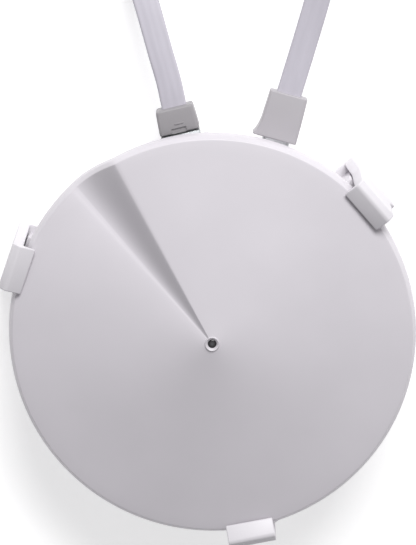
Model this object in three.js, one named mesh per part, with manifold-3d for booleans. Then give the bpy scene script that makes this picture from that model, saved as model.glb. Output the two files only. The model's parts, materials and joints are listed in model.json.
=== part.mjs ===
// A round mesh router with a spiral face, held in a wall bracket with three snap claws.
// It lies on the bracket's back. A network lead and a power lead leave its side and end in neat coils.
// Millimetres, +Z up and out of the face, origin at the middle of the bracket's back face.
import * as THREE from 'three';
import { mergeVertices } from 'three/addons/utils/BufferGeometryUtils.js';
import Module from 'manifold-3d';

const wasm = await Module();
wasm.setup();

// ---------- driving dimensions ----------
const GAP = 0.3;                 // gap kept between touching pieces
const BODY_RADIUS = 60;          // widest radius of the router
const FACE_RADIUS = 58.7;        // radius of the crease around the face
const BASE_RADIUS = 55.5;        // radius of the underside
const SKIN = 1.8;                // wall thickness of the covers
const BEVEL_DROP = 5;            // height from the widest radius up to the crease
const RIM_LOW = 22.5;            // height of the crease at the foot of the step
const RIM_HIGH = 32;             // height of the crease at the top of the step
const CLIMB_EASE = 0.6;          // under 1 makes the crease climb fastest just past the step's foot
const STEP_TOP = 118.5;          // angle where the step starts to fall, degrees
const STEP_FOOT = 132.5;         // angle where the step reaches its foot, degrees
const STEP_LEAN = 0.7;           // under 1 puts the steepest stretch nearer the top of the step
const CENTRE_Z = 40;             // height of the face's middle
const LIGHT_HOLE_RADIUS = 1.25;

const PLATE_THICKNESS = 3;
const PLATE_RADIUS = 53.5;
const FOOT_THICKNESS = 1.2;
const FOOT_Z = PLATE_THICKNESS + GAP;
const BASE_Z = FOOT_Z + FOOT_THICKNESS + GAP;
const PARTING_Z = 8.3;           // the top cover starts here, the base cover ends a gap below
const FLOOR_Z = BASE_Z + SKIN;   // inside floor of the base cover
const BOARD_Z = 7.2;
const BOARD_THICKNESS = 1.6;
const BOARD_TOP = BOARD_Z + BOARD_THICKNESS;
const BOARD_RADIUS = 44;

const SCREW_ANGLES = [25, 145, 215, 325];
const SCREW_CIRCLE = 47.5;

const CLAW_ANGLES = [41, 161, 281];
const CLAW_HALF_WIDTH = 7;
const CLAW_INNER = 60.6;         // inner face of a claw's arm
const CLAW_OUTER = 63.8;         // outer face of a claw's arm
const HOOK_TIP = 57;             // radius that a hook reaches in to, over the face
const HOOK_HEIGHT = 2.9;

// A port's rim angle is its place on the wall, and its aim is where it points.
const PORT_RADIUS = 58;
const NETWORK_PORT = { rim: 99, aim: 103.5, z: 15.2 };
const POWER_PORT = { rim: 71.2, aim: 74.5, z: 10.9 };

const CORD_WIDTH = 7.4;
const CORD_THICKNESS = 1.6;
const COIL_HEIGHT = CORD_WIDTH;

// ---------- materials ----------
function material(color, roughness, metalness = 0) {
  return new THREE.MeshStandardMaterial({ color, roughness, metalness });
}
const MATERIALS = {
  cover: material(0xd9d5dd, 0.32),
  bracket: material(0xe2dfe6, 0.4),
  rubber: material(0x77777a, 0.9),
  board: material(0x1f5a3c, 0.6),
  chip: material(0x202124, 0.5),
  steel: material(0xc4c6c9, 0.35, 1),
  gold: material(0xd0ad5a, 0.3, 1),
  guide: material(0xf0f4ff, 0.15),
  boot: material(0xb9b6b9, 0.5),
  clear: material(0xe6ebee, 0.1),
  cord: material(0xe6e2ea, 0.45),
  tie: material(0x8f8f94, 0.95),
};

// ---------- solids ----------
function solidOf(geometry) {
  const bare = geometry.clone();
  for (const name of Object.keys(bare.attributes)) {
    if (name !== 'position') bare.deleteAttribute(name);
  }
  const merged = mergeVertices(bare, 1e-4);
  return new wasm.Manifold(new wasm.Mesh({
    numProp: 3,
    vertProperties: new Float32Array(merged.attributes.position.array),
    triVerts: new Uint32Array(merged.index.array),
  }));
}

function geometryOf(solid) {
  const mesh = solid.getMesh();
  const geometry = new THREE.BufferGeometry();
  const points = new Float32Array((mesh.vertProperties.length / mesh.numProp) * 3);
  for (let i = 0; i < points.length / 3; i += 1) {
    for (let k = 0; k < 3; k += 1) points[3 * i + k] = mesh.vertProperties[mesh.numProp * i + k];
  }
  geometry.setAttribute('position', new THREE.BufferAttribute(points, 3));
  geometry.setIndex(Array.from(mesh.triVerts));
  return geometry;
}

function box(low, high) {
  const size = high.map((value, i) => value - low[i]);
  const geometry = new THREE.BoxGeometry(...size);
  geometry.translate(...low.map((value, i) => value + size[i] / 2));
  return solidOf(geometry);
}

// An upright cylinder or cone between two heights.
function post(radius, low, high, x = 0, y = 0, sides = 24, topRadius = radius) {
  const geometry = new THREE.CylinderGeometry(topRadius, radius, high - low, sides);
  geometry.rotateX(Math.PI / 2);
  geometry.translate(x, y, (low + high) / 2);
  return solidOf(geometry);
}

// A straight prism of an outline drawn in X and Y.
function prism(outline, low, high) {
  const shape = new THREE.Shape(outline.map(([x, y]) => new THREE.Vector2(x, y)));
  const geometry = new THREE.ExtrudeGeometry(shape, { depth: high - low, bevelEnabled: false });
  geometry.translate(0, 0, low);
  return solidOf(geometry);
}

function closedMesh(points, faces) {
  const geometry = new THREE.BufferGeometry();
  geometry.setAttribute('position', new THREE.BufferAttribute(new Float32Array(points.flat()), 3));
  geometry.setIndex(faces.flat());
  return solidOf(geometry);
}

// A closed body around Z whose profile changes with the angle. Each profile is a list of
// [radius, height], from a point on the axis at the top to a point on the axis underneath.
function turned(profileAt, angles) {
  const rows = profileAt(angles[0]).length - 2;
  const points = [];
  const faces = [];
  for (const angle of angles) {
    const turn = THREE.MathUtils.degToRad(angle);
    for (const [radius, height] of profileAt(angle).slice(1, -1)) {
      points.push([radius * Math.cos(turn), radius * Math.sin(turn), height]);
    }
  }
  const top = points.push([0, 0, profileAt(0)[0][1]]) - 1;
  const bottom = points.push([0, 0, profileAt(0)[rows + 1][1]]) - 1;
  for (let i = 0; i < angles.length; i += 1) {
    const here = i * rows;
    const next = ((i + 1) % angles.length) * rows;
    faces.push([top, here, next]);
    for (let k = 0; k < rows - 1; k += 1) {
      faces.push([here + k, here + k + 1, next + k + 1], [here + k, next + k + 1, next + k]);
    }
    faces.push([bottom, next + rows - 1, here + rows - 1]);
  }
  return closedMesh(points, faces);
}

// A rounded rectangle around [x, z], as a list of points.
function roundedSection({ width, height, corner, x = 0, z = 0 }, steps = 3) {
  const points = [];
  const centres = [[1, 1], [-1, 1], [-1, -1], [1, -1]];
  centres.forEach(([sx, sz], quarter) => {
    for (let i = 0; i <= steps; i += 1) {
      const turn = (quarter + i / steps) * Math.PI / 2;
      points.push([
        x + sx * (width / 2 - corner) + corner * Math.cos(turn),
        z + sz * (height / 2 - corner) + corner * Math.sin(turn),
      ]);
    }
  });
  return points;
}

// A body lofted along Y through rounded rectangles, with flat ends.
function loft(sections) {
  const rings = sections.map((section) => roundedSection(section));
  const count = rings[0].length;
  const points = rings.flatMap((ring, i) => ring.map(([x, z]) => [x, sections[i].y, z]));
  const first = points.push([sections[0].x ?? 0, sections[0].y, sections[0].z ?? 0]) - 1;
  const end = sections[sections.length - 1];
  const last = points.push([end.x ?? 0, end.y, end.z ?? 0]) - 1;
  const faces = [];
  for (let k = 0; k < count; k += 1) {
    const after = (k + 1) % count;
    faces.push([first, k, after]);
    for (let i = 0; i < rings.length - 1; i += 1) {
      const near = i * count;
      const far = near + count;
      faces.push([near + k, far + k, far + after], [near + k, far + after, near + after]);
    }
    const back = (rings.length - 1) * count;
    faces.push([last, back + after, back + k]);
  }
  return closedMesh(points, faces);
}

function joined(solids) {
  return solids.reduce((whole, solid) => whole.add(solid));
}

function polar(radius, degrees) {
  const turn = THREE.MathUtils.degToRad(degrees);
  return [radius * Math.cos(turn), radius * Math.sin(turn)];
}

function turnedAboutZ(solid, degrees) {
  return solid.rotate([0, 0, degrees]);
}

// Puts a solid drawn with +Y pointing out of a port into its place on the wall.
function atPort(solid, port) {
  const [x, y] = polar(PORT_RADIUS, port.rim);
  return solid.rotate([0, 0, port.aim - 90]).translate([x, y, port.z]);
}

// ---------- the assembly ----------
const part = new THREE.Group();

function addNode(name, solid, finish) {
  const mesh = new THREE.Mesh(geometryOf(solid), MATERIALS[finish]);
  mesh.name = name;
  part.add(mesh);
}

function addGeometry(name, geometry, finish) {
  const mesh = new THREE.Mesh(geometry, MATERIALS[finish]);
  mesh.name = name;
  part.add(mesh);
}

// ---------- the router's outer form ----------
const smoothStep = (t) => t * t * (3 - 2 * t);

// The crease climbs all the way round and falls back over the step.
function rimHeight(angle) {
  const stepWidth = STEP_FOOT - STEP_TOP;
  const climb = 360 - stepWidth;
  const past = (((angle - STEP_FOOT) % 360) + 360) % 360;
  if (past <= climb) return RIM_LOW + (RIM_HIGH - RIM_LOW) * (past / climb) ** CLIMB_EASE;
  return RIM_HIGH - (RIM_HIGH - RIM_LOW) * smoothStep(((past - climb) / stepWidth) ** STEP_LEAN);
}

function wallRadius(angle, z) {
  const rise = (z - BASE_Z) / (rimHeight(angle) - BEVEL_DROP - BASE_Z);
  return BASE_RADIUS + (BODY_RADIUS - BASE_RADIUS) * rise;
}

function bodyAngles() {
  const angles = [];
  const fine = (STEP_FOOT - STEP_TOP) / 8;
  for (let angle = STEP_TOP; angle < STEP_FOOT - 1e-6; angle += fine) angles.push(angle);
  const coarse = (360 - (STEP_FOOT - STEP_TOP)) / 80;
  for (let i = 0; i < 80; i += 1) angles.push(STEP_FOOT + i * coarse);
  return angles;
}

// The closed outer form of the top cover, or the same form moved in by its wall.
function coverForm(inset, bottom) {
  return turned((angle) => {
    const rim = rimHeight(angle);
    const faceAt = (share) => CENTRE_Z - inset + share * (rim - CENTRE_Z);
    return [
      [0, CENTRE_Z - inset],
      [FACE_RADIUS / 3, faceAt(1 / 3)],
      [FACE_RADIUS - inset * 0.9, rim - inset],
      [(FACE_RADIUS + BODY_RADIUS) / 2 + 0.35 - inset, rim - BEVEL_DROP * 0.4 - inset * 0.5],
      [BODY_RADIUS - inset, rim - BEVEL_DROP],
      [wallRadius(angle, bottom) - inset, bottom],
      [0, bottom],
    ];
  }, bodyAngles());
}

function networkWindow() {
  return atPort(box([-8.4, -8, -7.4], [8.4, 8, 8.3]), NETWORK_PORT);
}

function powerWindow() {
  return atPort(loft([
    { y: -8, width: 10.6, height: 4.8, corner: 2.2 },
    { y: 8, width: 10.6, height: 4.8, corner: 2.2 },
  ]), POWER_PORT);
}

// One solid for each cover screw, joined.
function atScrews(solidAt) {
  return joined(SCREW_ANGLES.map((angle) => solidAt(...polar(SCREW_CIRCLE, angle))));
}

function topCover() {
  const outer = coverForm(0, PARTING_Z);
  const bosses = atScrews((x, y) => post(3, PARTING_Z + GAP, 60, x, y, 16));
  const holes = atScrews((x, y) => post(1.5, 0, 22, x, y, 12));
  const lightHole = post(LIGHT_HOLE_RADIUS, 20, 60, 0, 0, 24);
  const dish = post(LIGHT_HOLE_RADIUS, CENTRE_Z - 0.6, CENTRE_Z + 0.4, 0, 0, 24, 2.1);
  return outer.subtract(coverForm(SKIN, PARTING_Z - 1))
    .add(bosses.intersect(outer))
    .subtract(holes)
    .subtract(lightHole.add(dish))
    .subtract(networkWindow())
    .subtract(powerWindow());
}

const RESET_SPOT = [-20, 18];

function baseCover() {
  const top = PARTING_Z - GAP;
  const outer = turned((angle) => [
    [0, top],
    [wallRadius(angle, top), top],
    [wallRadius(angle, BASE_Z + 1.2), BASE_Z + 1.2],
    [BASE_RADIUS - 1, BASE_Z],
    [0, BASE_Z],
  ], bodyAngles());
  const pocket = post(BASE_RADIUS - SKIN - 0.4, FLOOR_Z, top + 1, 0, 0, 72);
  const padAt = (angle) => post(3, FLOOR_Z - 0.2, BOARD_Z - GAP, ...polar(36, angle), 16);
  const pads = joined([30, 150, 270].map(padAt));
  const screwHoles = atScrews((x, y) => post(1.6, 0, 12, x, y, 12));
  const headSeats = atScrews((x, y) => post(3, BASE_Z - 1, BASE_Z + 0.9, x, y, 20));
  const slotAt = (i) => box([-16, i * 4 - 22.8, 0], [16, i * 4 - 21.2, 12]);
  const slots = joined([-3, -2, -1, 0, 1, 2, 3].map(slotAt));
  const resetHole = post(1.6, 0, 12, ...RESET_SPOT, 16);
  const cuts = joined([screwHoles, headSeats, slots, resetHole]);
  return outer.subtract(pocket).add(pads).subtract(cuts);
}

// ---------- inside the router ----------
function mainBoard() {
  const disc = post(BOARD_RADIUS, BOARD_Z, BOARD_TOP, 0, 0, 64);
  const tongue = box([-17, 20, BOARD_Z], [24, 46.5, BOARD_TOP]);
  const bossRoom = atScrews((x, y) => post(3.6, 0, 20, x, y, 16));
  const resetHole = post(1.6, 0, 20, ...RESET_SPOT, 16);
  return disc.add(tongue).subtract(bossRoom).subtract(resetHole);
}

function networkJack() {
  const shell = box([-7.9, -20, -6.1], [7.9, -1.4, 7.9]);
  const mouth = box([-6.15, -16.5, -4.45], [6.15, 0, 4.45]);
  const latchRoom = box([-3.3, -16.5, 4], [3.3, 0, 7.3]);
  return atPort(shell.subtract(mouth).subtract(latchRoom), NETWORK_PORT);
}

function powerJack() {
  const barrel = loft([
    { y: -10, width: 9.4, height: 3.5, corner: 1.7 },
    { y: -1.4, width: 9.4, height: 3.5, corner: 1.7 },
  ]);
  const mouth = loft([
    { y: -8.4, width: 8.7, height: 2.9, corner: 1.4 },
    { y: 0, width: 8.7, height: 2.9, corner: 1.4 },
  ]);
  const tongue = box([-3.2, -9, -0.35], [3.2, -3, 0.35]);
  return atPort(barrel.subtract(mouth).add(tongue), POWER_PORT);
}

function shieldCan(x, y, width, depth) {
  const low = BOARD_TOP + GAP;
  const can = (inset, bottom, top) => box(
    [x - width / 2 + inset, y - depth / 2 + inset, bottom],
    [x + width / 2 - inset, y + depth / 2 - inset, top],
  );
  return can(0, low, low + 3.2).subtract(can(0.5, low - 1, low + 2.8));
}

function heatSpreader() {
  const plate = post(40, 14.4, 15.6, 0, 0, 64);
  const jackRoom = box([-60, 24, 0], [60, 60, 40]);
  const pipeHole = post(3, 0, 40, 0, 0, 20);
  const legAt = (angle) => post(2, BOARD_TOP + GAP, 14.6, ...polar(34, angle), 12);
  const legs = joined([160, 270, 345].map(legAt));
  return plate.subtract(jackRoom).subtract(pipeHole).add(legs);
}

function antenna(angle) {
  const low = BOARD_TOP + GAP;
  const blade = box([41, -12, low + 3], [41.6, 12, low + 13]);
  const stem = box([41, -2, low], [41.6, 2, low + 4]);
  const foot = box([38.5, -2, low], [41.6, 2, low + 0.6]);
  const notch = box([40, 4, low + 6], [43, 7, low + 14]);
  return turnedAboutZ(blade.add(stem).add(foot).subtract(notch), angle);
}

function lightPipe() {
  const low = BOARD_TOP + GAP + 1.2 + GAP;
  return post(LIGHT_HOLE_RADIUS - 0.2, low, CENTRE_Z - 0.9, 0, 0, 20)
    .add(post(3.5, low + 8, low + 8.8, 0, 0, 20).intersect(post(2.4, 0, 60, 0, 0, 20)));
}

function coverScrew(angle) {
  const [x, y] = polar(SCREW_CIRCLE, angle);
  const head = post(2.6, BASE_Z - 0.7 + GAP, BASE_Z + 0.6, x, y, 20);
  const shank = post(1.2, BASE_Z + 0.2, 19, x, y, 12, 1.1);
  const socket = post(1, BASE_Z - 1, BASE_Z, x, y, 6);
  return head.add(shank).subtract(socket);
}

function rubberFoot(angle) {
  const [x, y] = polar(SCREW_CIRCLE, angle);
  const pad = post(5, FOOT_Z, BASE_Z - GAP, x, y, 28, 4.6);
  const screwRoom = post(3.2, FOOT_Z + 0.5, BASE_Z + 1, x, y, 20);
  return pad.subtract(screwRoom);
}

// A pin through the base and the board, with a head that the switch's housing covers.
function resetButton() {
  const head = BOARD_TOP + GAP;
  return post(1.2, BASE_Z + 0.1, head + 1.4, ...RESET_SPOT, 16)
    .add(post(2, head, head + 0.8, ...RESET_SPOT, 16));
}

function resetSwitch() {
  const [x, y] = RESET_SPOT;
  const low = BOARD_TOP + GAP;
  const housing = box([x - 3.5, y - 3.5, low], [x + 3.5, y + 3.5, low + 4.4]);
  const pocket = box([x - 2.6, y - 2.6, low - 1], [x + 2.6, y + 2.6, low + 3]);
  return housing.subtract(pocket);
}

// ---------- the wall bracket ----------
function clawTab(angle) {
  const tab = box([30, -CLAW_HALF_WIDTH - 2.5, 0], [CLAW_OUTER, CLAW_HALF_WIDTH + 2.5, PLATE_THICKNESS]);
  return turnedAboutZ(tab, angle);
}

// A short upright lip that follows the router's leaning wall and centres it.
function centringLip(angle) {
  const top = rimHeight(angle) - BEVEL_DROP - 10;
  const upright = box([BASE_RADIUS + 1, -CLAW_HALF_WIDTH, 0.5], [CLAW_INNER - 0.4, CLAW_HALF_WIDTH, top]);
  const clear = turned((turn) => [
    [0, 60],
    [wallRadius(turn, rimHeight(turn) - BEVEL_DROP) + 0.4, 60],
    [wallRadius(turn, rimHeight(turn) - BEVEL_DROP) + 0.4, rimHeight(turn) - BEVEL_DROP],
    [BASE_RADIUS + 0.5, BASE_Z],
    [BASE_RADIUS + 0.5, PLATE_THICKNESS],
    [0, PLATE_THICKNESS],
  ], bodyAngles());
  return turnedAboutZ(upright, angle).subtract(clear);
}

function keyhole(x, y) {
  const slot = box([x - 2.1, y, -1], [x + 2.1, y + 9, 5]);
  return post(4.2, -1, 5, x, y, 24).add(slot).add(post(2.1, -1, 5, x, y + 9, 16));
}

function bracketPlate() {
  const disc = post(PLATE_RADIUS, 0, PLATE_THICKNESS, 0, 0, 96);
  const resetRoom = post(5, -1, 5, ...RESET_SPOT, 24);
  const whole = joined([disc, ...CLAW_ANGLES.map(clawTab), ...CLAW_ANGLES.map(centringLip)]);
  return whole.subtract(keyhole(-26, -12)).subtract(keyhole(26, -12)).subtract(resetRoom);
}

// One snap claw: an upright arm on a wider root, and a hook with an inner lead-in and an outer bevel.
function claw(angle) {
  const rim = rimHeight(angle);
  const under = rim + 0.9;
  const ridge = under + HOOK_HEIGHT;
  const root = PLATE_THICKNESS + GAP;
  const outline = [
    [CLAW_INNER, root],
    [CLAW_OUTER, root],
    [CLAW_OUTER, ridge - 1.5],
    [CLAW_OUTER - 1.7, ridge],
    [CLAW_OUTER - 2.6, ridge],
    [HOOK_TIP, under + 0.8],
    [HOOK_TIP, under],
    [CLAW_INNER, under],
  ];
  const body = prism(outline, -CLAW_HALF_WIDTH - 2.5, CLAW_HALF_WIDTH + 2.5).rotate([90, 0, 0]);
  const front = new THREE.Shape();
  const foot = CLAW_HALF_WIDTH + 2.5;
  front.moveTo(-foot, 0);
  front.lineTo(foot, 0);
  front.lineTo(foot, root + 3);
  front.quadraticCurveTo(CLAW_HALF_WIDTH, root + 4, CLAW_HALF_WIDTH, root + 9);
  front.lineTo(CLAW_HALF_WIDTH, 60);
  front.lineTo(-CLAW_HALF_WIDTH, 60);
  front.lineTo(-CLAW_HALF_WIDTH, root + 9);
  front.quadraticCurveTo(-CLAW_HALF_WIDTH, root + 4, -foot, root + 3);
  const masking = { depth: 30, bevelEnabled: false, curveSegments: 5 };
  const mask = solidOf(new THREE.ExtrudeGeometry(front, masking)
    .rotateX(Math.PI / 2).rotateZ(Math.PI / 2).translate(45, 0, 0));
  return turnedAboutZ(body.intersect(mask), angle);
}

// ---------- plugs ----------
function networkPlugBody() {
  const body = box([-5.85, -13.5, -4.1], [5.85, 1.2, 4.1]);
  const bladeRoom = joined([-3, -2, -1, 0, 1, 2, 3, 4].map((i) => {
    const x = (i - 0.5) * 1.02;
    return box([x - 0.25, -14, -4.5], [x + 0.25, -8.5, -2.6]);
  }));
  return body.subtract(bladeRoom);
}

function networkLatch() {
  const outline = [[-12.8, 4.4], [1, 6.1], [1, 7], [-12.8, 5.3]];
  return prism(outline, -1.6, 1.6).rotate([90, 0, 0]).rotate([0, 0, 90]);
}

function networkBoot() {
  const hood = loft([
    { y: 1.5, width: 11.8, height: 9, corner: 0.8 },
    { y: 8.3, width: 11, height: 8.6, corner: 0.8 },
    { y: 8.9, width: 10.2, height: 7.8, corner: 0.8 },
  ]);
  return hood.subtract(box([-2.2, 0, 4.1], [2.2, 4, 8]));
}

function powerPlugShell() {
  const tube = loft([
    { y: -7.6, width: 8.3, height: 2.5, corner: 1.2 },
    { y: 0.6, width: 8.3, height: 2.5, corner: 1.2 },
  ]);
  const hollow = loft([
    { y: -8.4, width: 7.5, height: 1.7, corner: 0.8 },
    { y: -1.5, width: 7.5, height: 1.7, corner: 0.8 },
  ]);
  return tube.subtract(hollow);
}

function powerPlugGrip() {
  return loft([
    { y: 0.9, width: 13.2, height: 6.4, corner: 1.2, x: -0.7 },
    { y: 3, width: 12.4, height: 6.4, corner: 1.2, x: -0.3 },
    { y: 6, width: 11.8, height: 6.4, corner: 1.2 },
    { y: 14.3, width: 11.3, height: 5.6, corner: 1 },
    { y: 14.7, width: 10.9, height: 5.2, corner: 1 },
  ]);
}

// ---------- cords ----------
function cordTube(route) {
  const points = route.map((point) => new THREE.Vector3(...point));
  const path = new THREE.CatmullRomCurve3(points, false, 'centripetal');
  const across = CORD_WIDTH / 2;
  const thick = CORD_THICKNESS / 2;
  const round = 0.5;
  const section = new THREE.Shape([
    [thick, across - round], [thick - round, across], [round - thick, across], [-thick, across - round],
    [-thick, round - across], [round - thick, -across], [thick - round, -across], [thick, round - across],
  ].map(([x, y]) => new THREE.Vector2(x, y)));
  return new THREE.ExtrudeGeometry(section, { steps: 14, bevelEnabled: false, extrudePath: path });
}

function coilRing({ centre, inner, outer, bottom }) {
  const corners = [[inner, 0], [outer, 0], [outer, COIL_HEIGHT], [inner, COIL_HEIGHT], [inner, 0]];
  const ring = new THREE.LatheGeometry(corners.map(([x, y]) => new THREE.Vector2(x, y)), 56);
  ring.rotateX(Math.PI / 2);
  ring.translate(centre[0], centre[1], bottom);
  return solidOf(ring);
}

// A soft strap closed around the coil at one place.
function coilTie({ centre, inner, outer, bottom, tieAngle }) {
  const under = 0.7;
  const height = COIL_HEIGHT + under + 0.9;
  const section = { width: outer - inner + 2.4, height, corner: 0.6 };
  const outside = loft([{ y: -5, ...section }, { y: 5, ...section }])
    .translate([(inner + outer) / 2, 0, height / 2]);
  const wide = { centre: [0, 0], inner: inner - GAP, outer: outer + GAP, bottom: under };
  const room = joined([-GAP, 0, GAP].map((shift) => coilRing(wide).translate([0, 0, shift])));
  return turnedAboutZ(outside.subtract(room), tieAngle).translate([...centre, bottom - under]);
}

// The two coils lie one on the other, the power lead's on top.
const NETWORK_COIL = { centre: [0, 163], inner: 31, outer: 45.5, bottom: 0.7, tieAngle: 180 };
const POWER_COIL = { centre: [0, 163], inner: 35.7, outer: 51.4, bottom: 10, tieAngle: 90 };

// Each route runs from a plug's rear end down to where the coil begins.
const NETWORK_ROUTE = [
  [-11.22, 66.23, 15.2],
  [-12.75, 73.5, 15.2],
  [-15.2, 82, 14.6],
  [-18.6, 94, 12.6],
  [-22.2, 105.5, 9.6],
  [-25.8, 116, 7.2],
];
const POWER_ROUTE = [
  [22.75, 69.56, 10.9],
  [26.8, 83, 10.9],
  [30, 94, 11.2],
  [33, 105, 11.9],
  [36.3, 116, 12.8],
];

// ---------- the far ends, inside the coils ----------
// A far plug is drawn with +Y along its cord, lies on its side, and points away from the cord.
function atFarEnd(solid, { spot, heading }) {
  return solid.rotate([0, 90, 0]).rotate([0, 0, heading]).translate(spot);
}
const FAR_PLUG = { spot: [8.2, 149, 6], heading: -90 };

const ADAPTER = { spot: [-1.8, 167.2, 0], length: 28, width: 26, height: 26 };

// The adapter is drawn with +Y towards its cord, and turned to point its prongs along -X.
function adapterPlaced(solid) {
  return solid.rotate([0, 0, -90]).translate(ADAPTER.spot);
}

function adapterCase() {
  const half = ADAPTER.length / 2;
  const z = ADAPTER.height / 2;
  const body = loft([
    { y: -half + 2.6, width: ADAPTER.width, height: ADAPTER.height, corner: 3, z },
    { y: half - 2, width: ADAPTER.width, height: ADAPTER.height, corner: 3, z },
    { y: half, width: ADAPTER.width - 4, height: ADAPTER.height - 4, corner: 3, z },
  ]);
  return adapterPlaced(body);
}

function adapterFace() {
  const half = ADAPTER.length / 2;
  const z = ADAPTER.height / 2;
  const plate = loft([
    { y: -half, width: ADAPTER.width - 1, height: ADAPTER.height - 1, corner: 3, z },
    { y: -half + 2.3, width: ADAPTER.width, height: ADAPTER.height, corner: 3, z },
  ]);
  const slotAt = (x) => box([x - 1.1, -half - 1, z - 3.6], [x + 1.1, -half + 1.6, z + 3.6]);
  const slots = joined([-6.35, 6.35].map(slotAt));
  return adapterPlaced(plate.subtract(slots));
}

// The tapered strain relief in the middle of the adapter's end face.
function adapterRelief() {
  const face = ADAPTER.length / 2 + GAP;
  const sleeve = loft([
    { y: face, width: 5.4, height: 10, corner: 1.2, z: 13.2 },
    { y: face + 6.7, width: 3.2, height: 8.4, corner: 0.8, z: 13.7 },
  ]);
  return adapterPlaced(sleeve);
}

function adapterProng(side) {
  const half = ADAPTER.length / 2;
  const z = ADAPTER.height / 2;
  const blade = loft([
    { y: -half - 13.5, width: 1.1, height: 5, corner: 0.5, x: side * 6.35, z },
    { y: -half - 11.5, width: 1.5, height: 6.3, corner: 0.5, x: side * 6.35, z },
    { y: -half + 1.3, width: 1.5, height: 6.3, corner: 0.5, x: side * 6.35, z },
  ]);
  return adapterPlaced(blade);
}

function buildRouter() {
  addNode('top_cover', topCover(), 'cover');
  addNode('base_cover', baseCover(), 'cover');
  addNode('main_board', mainBoard(), 'board');
  addNode('network_jack', networkJack(), 'steel');
  addNode('power_jack', powerJack(), 'steel');
  addNode('radio_shield', shieldCan(-20, -14, 22, 20), 'steel');
  addNode('processor_shield', shieldCan(17, -8, 24, 24), 'steel');
  addNode('memory_chip', box([-6, 12, BOARD_TOP + GAP], [6, 20, BOARD_TOP + 1.4]), 'chip');
  addNode('power_coil_block', box([20, 14, BOARD_TOP + GAP], [28, 22, BOARD_TOP + 5]), 'chip');
  addNode('heat_spreader', heatSpreader(), 'steel');
  addNode('status_light', box([-1.5, -1, BOARD_TOP + GAP], [1.5, 1, BOARD_TOP + GAP + 1.2]), 'guide');
  addNode('light_pipe', lightPipe(), 'guide');
  [0, 185, 235, 305].forEach((angle, i) => addNode(`antenna_${i + 1}`, antenna(angle), 'gold'));
  SCREW_ANGLES.forEach((angle, i) => {
    addNode(`cover_screw_${i + 1}`, coverScrew(angle), 'steel');
    addNode(`rubber_foot_${i + 1}`, rubberFoot(angle), 'rubber');
  });
  addNode('reset_switch', resetSwitch(), 'chip');
  addNode('reset_button', resetButton(), 'rubber');
}

function buildBracket() {
  addNode('bracket_plate', bracketPlate(), 'bracket');
  CLAW_ANGLES.forEach((angle, i) => addNode(`snap_claw_${i + 1}`, claw(angle), 'bracket'));
}

function buildNetworkLead() {
  addNode('network_plug', atPort(networkPlugBody(), NETWORK_PORT), 'clear');
  addNode('network_latch', atPort(networkLatch(), NETWORK_PORT), 'clear');
  addNode('network_boot', atPort(networkBoot(), NETWORK_PORT), 'boot');
  addGeometry('network_cord', cordTube(NETWORK_ROUTE), 'cord');
  addNode('network_coil', coilRing(NETWORK_COIL), 'cord');
  addNode('network_tie', coilTie(NETWORK_COIL), 'tie');
  addNode('far_plug', atFarEnd(networkPlugBody(), FAR_PLUG), 'clear');
  addNode('far_latch', atFarEnd(networkLatch(), FAR_PLUG), 'clear');
  addNode('far_boot', atFarEnd(networkBoot(), FAR_PLUG), 'boot');
}

function buildPowerLead() {
  addNode('power_plug_shell', atPort(powerPlugShell(), POWER_PORT), 'steel');
  addNode('power_plug_grip', atPort(powerPlugGrip(), POWER_PORT), 'boot');
  addGeometry('power_cord', cordTube(POWER_ROUTE), 'cord');
  addNode('power_coil', coilRing(POWER_COIL), 'cord');
  addNode('power_tie', coilTie(POWER_COIL), 'tie');
  addNode('adapter_case', adapterCase(), 'cover');
  addNode('adapter_face', adapterFace(), 'cover');
  addNode('adapter_relief', adapterRelief(), 'boot');
  addNode('adapter_prong_1', adapterProng(-1), 'steel');
  addNode('adapter_prong_2', adapterProng(1), 'steel');
}

buildRouter();
buildBracket();
buildNetworkLead();
buildPowerLead();

export default part;
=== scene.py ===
"""A round mesh router in its wall bracket, with a network lead and a power lead, on a pale studio floor.

Shapes are drawn in millimetres and turned into metres as each mesh is made. Every piece stands where its
CAD node stands, rides on the same body and takes its material from the same slot.
"""
import json
import math

import bmesh
import bpy
from mathutils import Matrix, Vector


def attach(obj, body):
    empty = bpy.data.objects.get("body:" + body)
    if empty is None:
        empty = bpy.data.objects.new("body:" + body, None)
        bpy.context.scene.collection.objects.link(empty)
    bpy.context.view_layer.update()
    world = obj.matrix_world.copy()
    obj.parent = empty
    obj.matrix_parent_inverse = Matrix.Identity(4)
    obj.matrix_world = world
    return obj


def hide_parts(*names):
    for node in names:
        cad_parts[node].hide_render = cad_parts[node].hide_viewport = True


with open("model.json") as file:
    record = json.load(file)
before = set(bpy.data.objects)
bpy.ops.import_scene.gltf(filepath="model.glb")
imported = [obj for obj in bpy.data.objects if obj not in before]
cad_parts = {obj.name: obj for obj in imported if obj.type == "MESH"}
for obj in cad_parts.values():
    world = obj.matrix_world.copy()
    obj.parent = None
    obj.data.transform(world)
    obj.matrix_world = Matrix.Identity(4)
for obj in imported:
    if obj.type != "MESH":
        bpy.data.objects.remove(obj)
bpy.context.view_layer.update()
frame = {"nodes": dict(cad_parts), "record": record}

MM = 0.001

# ---------- driving dimensions, the same as the CAD model's ----------
GAP = 0.3
BODY_RADIUS = 60
FACE_RADIUS = 58.7
BASE_RADIUS = 55.5
SKIN = 1.8
BEVEL_DROP = 5
RIM_LOW = 22.5
RIM_HIGH = 32
CLIMB_EASE = 0.6
STEP_TOP = 118.5
STEP_FOOT = 132.5
STEP_LEAN = 0.7
CENTRE_Z = 40
LIGHT_HOLE_RADIUS = 1.25

PLATE_THICKNESS = 3
PLATE_RADIUS = 53.5
BASE_Z = 4.8
PARTING_Z = 8.3
FLOOR_Z = BASE_Z + SKIN
BOARD_TOP = 8.8

SCREW_ANGLES = (25, 145, 215, 325)
SCREW_CIRCLE = 47.5
RESET_SPOT = (-20, 18)
KEYHOLES = ((-26, -12), (26, -12))

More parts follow.
